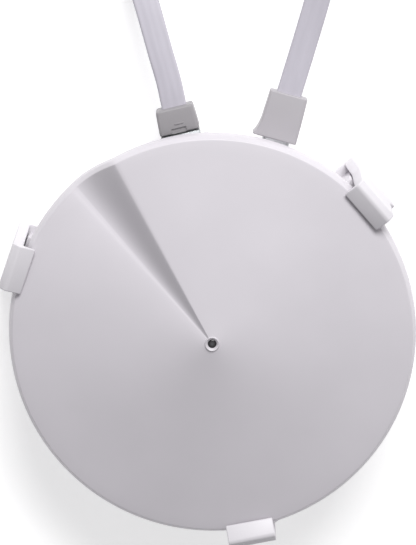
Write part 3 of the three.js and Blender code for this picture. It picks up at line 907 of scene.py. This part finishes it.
def window(name, port, low, high, corner):
    """A rounded port opening, drawn as a body that goes through the wall."""
    width, height = high[0] - low[0], high[1] - low[1]
    middle = (low[0] + high[0]) / 2, (low[1] + high[1]) / 2
    sections = [(-8, width, height, corner, *middle), (8, width, height, corner, *middle)]
    return at_port(loft(name, sections), port)


def make_top_cover():
    cover = turned("top_cover_shell", cover_profile, body_angles())
    windows = [
        window("network_window", NETWORK_PORT, (-8.4, -7.4), (8.4, 8.3), 0.8),
        window("power_window", POWER_PORT, (-5.3, -2.4), (5.3, 2.4), 2.2),
    ]
    combined(cover, windows)
    bosses = []
    for angle in SCREW_ANGLES:
        x, y = polar(SCREW_CIRCLE, angle)
        top = face_height(angle, SCREW_CIRCLE) - SKIN / 2
        tube = [(0, 22), (1.5, 22), (1.5, PARTING_Z + GAP), (3, PARTING_Z + GAP), (3, top), (0, top)]
        bosses.append(lathed("boss", tube, x, y, 32))
    cover = joined("top_cover_shell", [cover, *bosses])
    dressed(cover, "top_cover", ["top_cover"], 28)


def base_profile(angle):
    """The base as a closed loop: outside wall, underside, and back over the floor."""
    top = PARTING_Z - GAP
    edge_z = BASE_Z + 1.2
    wall = wall_radius(angle, top)
    outside = rounded_outline([
        (wall, top - 0.3, 0), (wall_radius(angle, edge_z), edge_z, 0.5), (BASE_RADIUS - 1, BASE_Z, 0.4),
        (50, BASE_Z, 0),
    ], closed=False)
    pocket = BASE_RADIUS - SKIN - 0.4
    return [
        (wall - 0.3, top), (wall - 0.08, top - 0.08), *outside, (0.5, BASE_Z), (0.5, FLOOR_Z),
        (pocket - 0.4, FLOOR_Z), (pocket, FLOOR_Z + 0.4), (pocket, top),
    ]


def make_base_cover():
    base = turned("base_cover_shell", base_profile, [1.5 * i for i in range(240)])
    plug = lathed("middle", [(0, FLOOR_Z), (1, FLOOR_Z), (1, BASE_Z), (0, BASE_Z)], sides=24)
    combined(base, [plug], "UNION")
    cutters = []
    for i in range(-3, 4):
        middle = i * 4 - 22
        corners = ((-16, -0.8), (16, -0.8), (16, 0.8), (-16, 0.8))
        slot = rounded_outline([(x, middle + y, 0.75) for x, y in corners])
        cutters.append(prism("slot", slot, 0, 12))
    for angle in SCREW_ANGLES:
        seat = [(0, 0), (3, 0), (3, BASE_Z + 0.9), (1.6, BASE_Z + 0.9), (1.6, 12), (0, 12)]
        cutters.append(lathed("seat", seat, *polar(SCREW_CIRCLE, angle), 32))
    cutters.append(lathed("reset_hole", [(0, 0), (1.6, 0), (1.6, 12), (0, 12)], *RESET_SPOT, 32))
    combined(base, [joined("cutters", cutters)])
    dressed(base, "base_cover", ["base_cover"], 28)


def make_light_lens():
    """The light guide under the face, with a domed end and its locating collar."""
    low = BOARD_TOP + GAP + 1.2 + GAP
    radius = LIGHT_HOLE_RADIUS - 0.08
    top = CENTRE_Z - 0.72
    dome = []
    for angle in (0, 20, 40, 60, 78):
        turn = math.radians(angle)
        dome.append((radius * math.cos(turn), top + 0.22 * math.sin(turn)))
    profile = [
        (0, low), (radius - 0.2, low), (radius, low + 0.2), (radius, low + 8), (2.3, low + 8),
        (2.4, low + 8.1), (2.4, low + 8.7), (2.3, low + 8.8), (radius, low + 8.8), *dome, (0, top + 0.22),
    ]
    lens = lathed("light_pipe_lens", profile, sides=48)
    dressed(lens, "light_pipe", ["light_pipe"], 35)


# ---------- the wall bracket ----------
def plate_outline():
    """A disc with a tab under each claw."""
    half = CLAW_ROOT_HALF_WIDTH
    reach = math.degrees(math.asin(half / PLATE_RADIUS))
    corners = []
    for angle, after in zip(CLAW_ANGLES, CLAW_ANGLES[1:] + (CLAW_ANGLES[0] + 360,)):
        turn = math.radians(angle)
        for along, side, radius in ((CLAW_OUTER, -half, 1.2), (CLAW_OUTER, half, 1.2)):
            x = along * math.cos(turn) - side * math.sin(turn)
            y = along * math.sin(turn) + side * math.cos(turn)
            corners.append((x, y, radius))
        first, last = angle + reach, after - reach
        steps = 48
        corners += [(*polar(PLATE_RADIUS, first + (last - first) * i / steps), 0) for i in range(steps + 1)]
    return rounded_outline(corners)


def circle(x, y, radius, sides=40, start=0.0, sweep_angle=360.0):
    count = sides if sweep_angle == 360 else sides + 1
    return [(x + px, y + py) for px, py in
            (polar(radius, start + sweep_angle * i / sides) for i in range(count))]


def keyhole_outline(x, y):
    """A round hole for a screw's head, running into a slot for its shank."""
    head, slot, length = 4.2, 2.1, 9
    lean = math.degrees(math.acos(slot / head))
    around = circle(x, y, head, 36, 180 - lean, 180 + 2 * lean)
    return around + circle(x, y + length, slot, 18, 0, 180)


def make_lip(angle):
    """The upright lip that follows the router's leaning wall and centres it."""
    top = rim_height(angle) - BEVEL_DROP - 10
    columns, rows = 9, 7
    points = []
    for layer in range(2):
        for i in range(columns):
            y = CLAW_HALF_WIDTH * (2 * i / (columns - 1) - 1)
            turn = angle + math.degrees(math.asin(y / BODY_RADIUS))
            for k in range(rows):
                z = 1 + (top - 1) * k / (rows - 1)
                wall = wall_radius(turn, max(z, BASE_Z)) + 0.45 if z > BASE_Z else BASE_RADIUS + 0.55
                inner = math.sqrt(wall * wall - y * y)
                points.append((inner if layer == 0 else CLAW_INNER - 0.4, y, z))
    count = columns * rows
    faces = [tuple(face) for face in grid_faces(columns, rows)]
    faces += [tuple(count + k for k in face)[::-1] for face in grid_faces(columns, rows)]
    rim = [k for k in range(rows)] + [i * rows + rows - 1 for i in range(1, columns)]
    rim += [(columns - 1) * rows + k for k in range(rows - 2, -1, -1)]
    rim += [i * rows for i in range(columns - 2, 0, -1)]
    for first, second in zip(rim, rim[1:] + rim[:1]):
        faces.append((first, second, count + second, count + first))
    lip = bevelled(mesh_object("lip", points, faces), 0.4, 3, 40)
    return moved(lip, placed(0, 0, 0, angle))


def make_bracket_plate():
    reset_room = circle(*RESET_SPOT, 5)
    holes = [keyhole_outline(*spot) for spot in KEYHOLES]
    flat = plate("plate", [plate_outline(), *holes, reset_room], 0, PLATE_THICKNESS, 0.35)
    lips = [make_lip(angle) for angle in CLAW_ANGLES]
    whole = joined("bracket_plate_moulding", [flat, *lips])
    dressed(whole, "bracket_plate", ["bracket_plate"], 30)


def make_claw(number, angle):
    """A snap claw: an upright arm on a wider root, and a hook with an inner lead-in and an outer bevel."""
    under = rim_height(angle) + 0.9
    ridge = under + HOOK_HEIGHT
    root = PLATE_THICKNESS + GAP
    outline = [
        (CLAW_INNER, root), (CLAW_OUTER, root), (CLAW_OUTER, ridge - 1.5), (CLAW_OUTER - 1.7, ridge),
        (CLAW_OUTER - 2.6, ridge), (HOOK_TIP, under + 0.8), (HOOK_TIP, under), (CLAW_INNER, under),
    ]
    half = CLAW_ROOT_HALF_WIDTH
    arm = moved(prism("arm", outline, -half, half, "X"), Matrix.Rotation(math.radians(-90), 4, "Z"))
    narrow = CLAW_HALF_WIDTH
    flare = [
        (half - (half - narrow) * smooth_share(i / 10), root + 3 + 6 * i / 10) for i in range(11)
    ]
    front = [(half, 0), *flare, (narrow, 60)]
    front += [(-y, z) for y, z in front[::-1]]
    mask = prism("mask", front, 45, 75, "X")
    combined(arm, [mask], "INTERSECT")
    bevelled(arm, 0.35, 3, 24)
    claw = moved(arm, placed(0, 0, 0, angle))
    claw.name = f"snap_claw_{number}_moulding"
    dressed(claw, f"snap_claw_{number}", [f"snap_claw_{number}"], 30)


# ---------- plugs ----------
def plug_body(name):
    """The clear body of an eight-way plug, with a slot for each blade."""
    body = bevelled(box(name, (-5.85, -13.5, -4.1), (5.85, 1.2, 4.1)), 0.35, 3)
    slots = [box("slot", (x - 0.25, -14, -4.5), (x + 0.25, -8.5, -2.6)) for x in blade_places()]
    return combined(body, [joined("slots", slots)])


def blade_places():
    return [(i - 3.5) * 1.02 for i in range(8)]


def plug_blades(name):
    """The eight plated blades in their slots."""
    blades = []
    for x in blade_places():
        outline = [(-13.3, -2.7), (-13.3, -3.75), (-12.6, -3.95), (-9.4, -3.95), (-8.8, -3.6), (-8.8, -2.7)]
        blades.append(bevelled(prism("blade", outline, x - 0.16, x + 0.16, "X"), 0.06, 2))
    return joined(name, blades)


def plug_latch(name):
    outline = rounded_outline([
        (-12.8, 4.4, 0.3), (-12.8, 5.3, 0.4), (-5, 6.12, 0), (1, 7, 0.3), (1, 6.1, 0.3), (-5, 5.37, 0),
    ])
    return bevelled(prism(name, outline, -1.6, 1.6, "X"), 0.2, 2)


def plug_boot(name):
    """The hood behind the plug: nearly flat sides, a moulded dash on top and a notch over the latch."""
    hood = loft(name, [
        (1.5, 11.8, 9, 0.95), (4, 11.65, 9, 0.95), (6.5, 11.4, 8.85, 0.95), (8.9, 11.1, 8.65, 0.95),
    ], 0.55)
    combined(hood, [box("notch", (-2.2, 0, 4.1), (2.2, 3.1, 8))])
    dash = loft("dash", [(4.15, 2.9, 0.5, 0.2, 0.4, 4.45), (4.6, 2.9, 0.5, 0.2, 0.4, 4.45)], 0.08)
    return joined(name, [hood, dash])


def make_network_plug():
    dressed(at_port(plug_body("network_plug_body"), NETWORK_PORT), "network_plug", ["network_plug"])
    blades = at_port(plug_blades("network_plug_blades"), NETWORK_PORT)
    dressed_as(blades, "gold", "root")
    dressed(at_port(plug_latch("network_latch_lever"), NETWORK_PORT), "network_latch", ["network_latch"])
    hood = at_port(plug_boot("network_boot_hood"), NETWORK_PORT)
    return dressed(hood, "network_boot", ["network_boot"], 40)


def dressed_as(obj, slot, body):
    """A piece with no CAD node of its own."""
    smoothed(obj)
    obj.data.materials.clear()
    obj.data.materials.append(MATERIALS[slot])
    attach(obj, body)
    return obj


def make_far_plug():
    body = dressed(at_far_end(plug_body("far_plug_body")), "far_plug", ["far_plug"])
    blades = dressed_as(at_far_end(plug_blades("far_plug_blades")), "gold", "root")
    latch = dressed(at_far_end(plug_latch("far_latch_lever")), "far_latch", ["far_latch"])
    boot = dressed(at_far_end(plug_boot("far_boot_hood")), "far_boot", ["far_boot"], 40)
    return [body, blades, latch, boot]


def make_power_plug():
    shell = loft("power_plug_tube", [(-7.6, 8.3, 2.5, 1.2), (0.9, 8.3, 2.5, 1.2)], 0.12)
    hollow = loft("hollow", [(-8.4, 7.5, 1.7, 0.8), (-1.5, 7.5, 1.7, 0.8)])
    combined(shell, [hollow])
    dressed(at_port(shell, POWER_PORT), "power_plug_shell", ["power_plug_shell"])
    grip = loft("power_plug_grip_moulding", [
        (0.9, 13.2, 6.4, 0.8, -0.7), (1.8, 12.75, 6.4, 0.8, -0.5), (3, 12.3, 6.4, 0.8, -0.28),
        (4.4, 11.95, 6.4, 0.8, -0.12), (6, 11.75, 6.4, 0.8, -0.02),
        (9, 11.6, 6.2, 0.8), (14.7, 11.3, 5.6, 0.8),
    ], 0.35)
    return dressed(at_port(grip, POWER_PORT), "power_plug_grip", ["power_plug_grip"], 40)


# ---------- the mains adapter ----------
def make_adapter():
    half = ADAPTER["length"] / 2
    width, height = ADAPTER["width"], ADAPTER["height"]
    z = height / 2
    case = loft("adapter_case_moulding", [
        (-half + 2.6, width, height, 3, 0, z), (half - 3, width, height, 3, 0, z),
        (half - 1.4, width - 0.9, height - 0.9, 3, 0, z), (half - 0.4, width - 2.6, height - 2.6, 3, 0, z),
        (half, width - 4.4, height - 4.4, 2.4, 0, z),
    ], 0.2)
    face = loft("adapter_face_moulding", [
        (-half, width - 1, height - 1, 3, 0, z), (-half + 2.3, width, height, 3, 0, z),
    ], 0.4)
    slots = []
    for x in (-PRONG_X, PRONG_X):
        slots.append(box("slot", (x - 1.1, -half - 1, z - 3.6), (x + 1.1, -half + 1.6, z + 3.6)))
    combined(face, [joined("slots", slots)])
    pieces = [
        dressed(at_adapter(case), "adapter_case", ["adapter_case"], 40),
        dressed(at_adapter(face), "adapter_face", ["adapter_face"], 40),
    ]
    for number, x in ((1, -PRONG_X), (2, PRONG_X)):
        pieces.append(make_prong(number, x, half, z))
    sleeve = loft("adapter_relief_sleeve", [
        (half + GAP, 5.4, 10, 1.2, 0, 13.2), (half + 1.6, 4.9, 9.6, 1.2, 0, 13.35),
        (half + 4, 4, 9, 1, 0, 13.5), (half + 7, 3.2, 8.4, 0.8, 0, 13.7),
    ], 0.3)
    pieces.append(dressed(at_adapter(sleeve), "adapter_relief", ["adapter_relief"], 40))
    return pieces


def make_prong(number, x, half, z):
    """A flat blade with a round hole near its tapered tip."""
    blade = loft(f"adapter_prong_{number}_blade", [
        (-half - 13.5, 1.1, 5, 0.5, x, z), (-half - 11.5, 1.5, 6.3, 0.5, x, z),
        (-half + 1.3, 1.5, 6.3, 0.5, x, z),
    ], 0.2)
    hole = lathed("hole", [(0, -3), (1.5, -3), (1.5, 3), (0, 3)], sides=32)
    moved(hole, placed(x, -half - 9.5, z) @ Matrix.Rotation(math.radians(90), 4, "Y"))
    combined(blade, [hole])
    node = f"adapter_prong_{number}"
    return dressed(at_adapter(blade), node, [node])


# ---------- what the CAD model keeps ----------
def dress_kept_nodes():
    """Every CAD node that no piece replaces gets its slot's material."""
    for name, node in frame["nodes"].items():
        if node.hide_render:
            continue
        node.data.materials.clear()
        node.data.materials.append(MATERIALS[SLOT_OF[name]])


def make_floor():
    floor = mesh_object("floor", [(-3, -3, 0), (3, -3, 0), (3, 3, 0), (-3, 3, 0)], [(0, 1, 2, 3)], 1)
    floor.data.materials.append(floor_paper())


make_camera()
network_lead, power_lead = make_cords()
network_strap = make_tie("network_tie_strap", NETWORK_COIL, "network_tie")
power_strap = make_tie("power_tie_strap", POWER_COIL, "power_tie")
make_light()
make_floor()
make_top_cover()
make_base_cover()
make_light_lens()
make_bracket_plate()
for claw_number, claw_angle in enumerate(CLAW_ANGLES, 1):
    make_claw(claw_number, claw_angle)
near_boot = make_network_plug()
far_pieces = make_far_plug()
grip_piece = make_power_plug()
adapter_pieces = make_adapter()
dress_kept_nodes()
